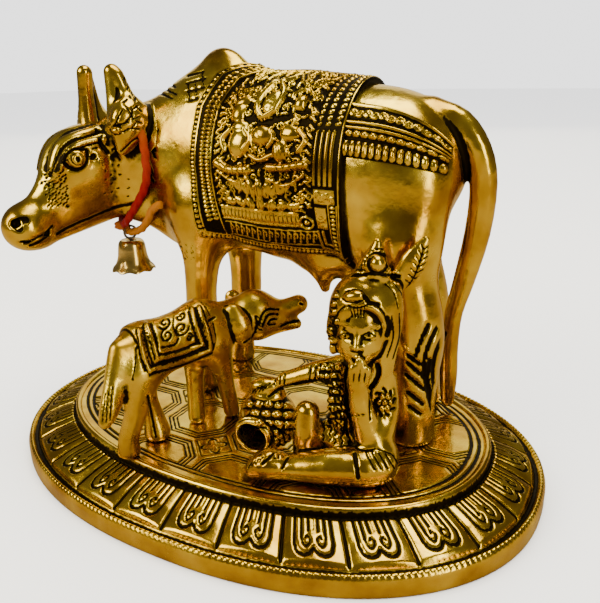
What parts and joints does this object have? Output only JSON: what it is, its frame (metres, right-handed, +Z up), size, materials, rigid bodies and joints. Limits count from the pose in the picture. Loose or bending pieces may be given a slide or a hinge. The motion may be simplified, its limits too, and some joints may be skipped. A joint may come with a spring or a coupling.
{
  "type": "cow and calf statue",
  "caption": "Gold-finished cast statue: cow with a relief saddle cloth, calf and seated child with a pot on an oval petalled base, with a small bell on a thread.",
  "frame": {"origin": "middle of the base's flat underside", "axes": "+Z up; X along the base's length, the cow's head towards -X; the calf and the child stand on the -Y side"},
  "size_m": [0.15, 0.106, 0.108],
  "materials": {
    "antique_gold": "bright gold plating with a black wash in the recesses",
    "pale_brass": "polished pale brass",
    "wire": "dull wire",
    "dyed_cotton": "soft cotton thread dyed red and orange"
  },
  "bodies": {
    "root": {"base": "antique_gold", "cow": "antique_gold", "calf": "antique_gold", "seated_child": "antique_gold", "neck_thread": "dyed_cotton", "bell": "pale_brass", "bell_hook": "wire"}
  },
  "joints": []
}
